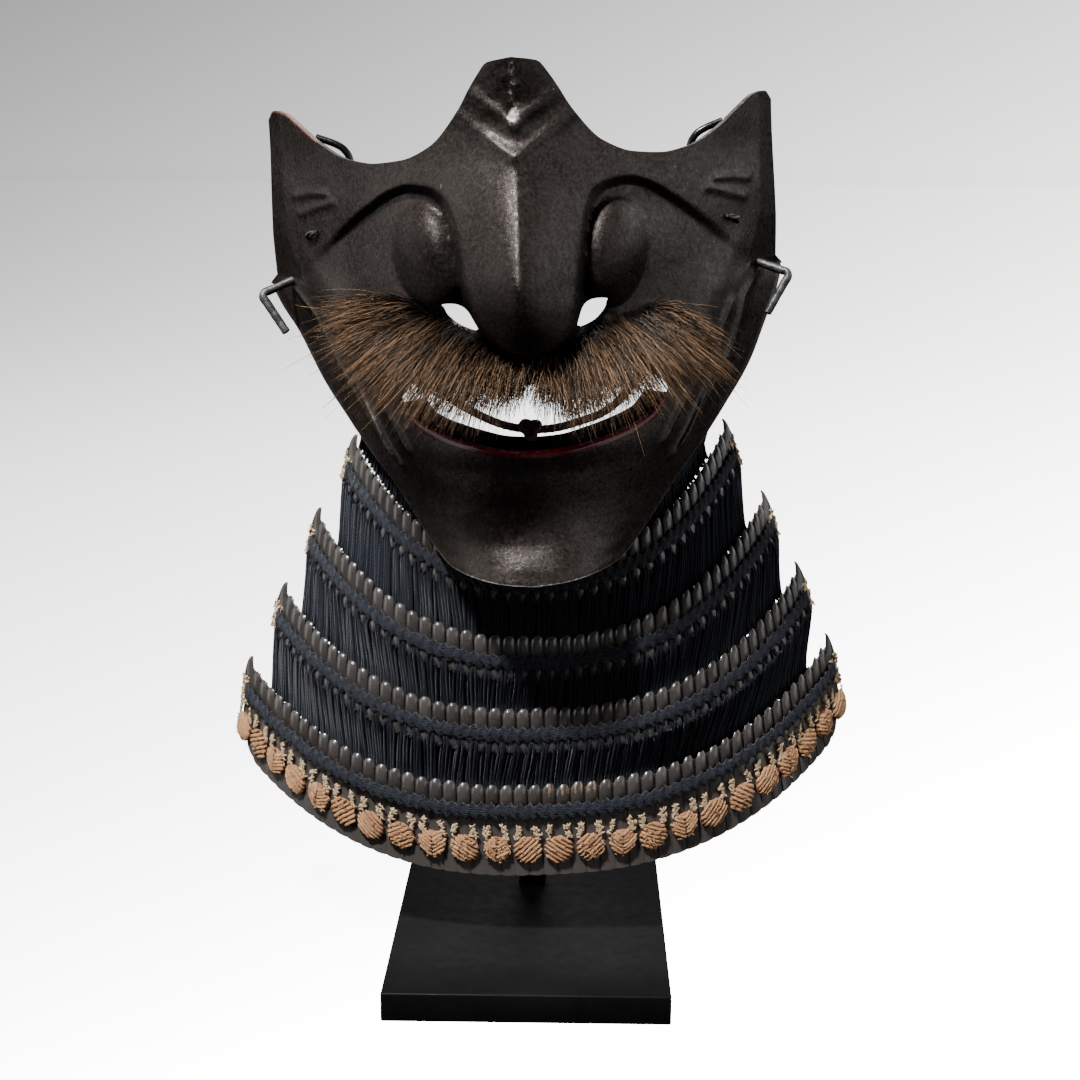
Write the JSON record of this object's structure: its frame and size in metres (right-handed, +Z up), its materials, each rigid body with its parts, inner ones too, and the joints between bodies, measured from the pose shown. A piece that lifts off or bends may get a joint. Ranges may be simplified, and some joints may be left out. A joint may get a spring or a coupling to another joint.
{
  "type": "samurai face guard with throat guard on a display stand",
  "caption": "Half mask of dark iron with a nose, a moustache and an open mouth, a laced throat guard hanging from its jaw, on a plain black stand.",
  "frame": {"origin": "centre of the underside of the stand's base", "axes": "+Z up, -Y the way the face looks, +X the viewer's right"},
  "size_m": [0.206, 0.1547, 0.2791],
  "materials": {
    "blackened_iron": "forged iron with a dark brown-black patina, satin, worn bright along the nose",
    "forged_iron": "rough forged grey iron wire",
    "red_lacquer": "glossy dark red lacquer over iron",
    "brown_lacquer": "glossy brown-grey lacquer over iron scales",
    "navy_silk": "twisted navy silk cords",
    "orange_silk": "orange-tan silk knots with diagonal ribs",
    "purple_silk": "braided dark purple silk cord",
    "brown_hair": "brown animal hair in locks",
    "black_paint": "matte black paint",
    "dark_steel": "dark glossy steel rod"
  },
  "bodies": {
    "root": {"stand_base": "black_paint", "stand_arms": "dark_steel", "mask_shell": "blackened_iron", "lower_lip": "red_lacquer", "hook_left": "forged_iron", "hook_right": "forged_iron", "cord_stitch_left": "forged_iron", "cord_stitch_right": "forged_iron", "moustache_left": "brown_hair", "moustache_right": "brown_hair", "lame_1": "brown_lacquer", "braid_1": "navy_silk", "lame_2": "brown_lacquer", "braid_2": "navy_silk", "lame_3": "brown_lacquer", "braid_3": "navy_silk", "lame_4": "brown_lacquer", "braid_4": "navy_silk", "lacing_0": "navy_silk", "lacing_1": "navy_silk", "lacing_2": "navy_silk", "lacing_3": "navy_silk", "knot_01": "orange_silk", "knot_02": "orange_silk", "knot_03": "orange_silk", "knot_04": "orange_silk", "knot_05": "orange_silk", "knot_06": "orange_silk", "knot_07": "orange_silk", "knot_08": "orange_silk", "knot_09": "orange_silk", "knot_10": "orange_silk", "knot_11": "orange_silk", "knot_12": "orange_silk", "knot_13": "orange_silk", "knot_14": "orange_silk", "knot_15": "orange_silk", "knot_16": "orange_silk", "knot_17": "orange_silk", "knot_18": "orange_silk", "knot_19": "orange_silk", "knot_20": "orange_silk", "knot_21": "orange_silk", "knot_22": "orange_silk", "knot_23": "orange_silk", "knot_24": "orange_silk", "tying_cord": "purple_silk"}
  },
  "joints": []
}
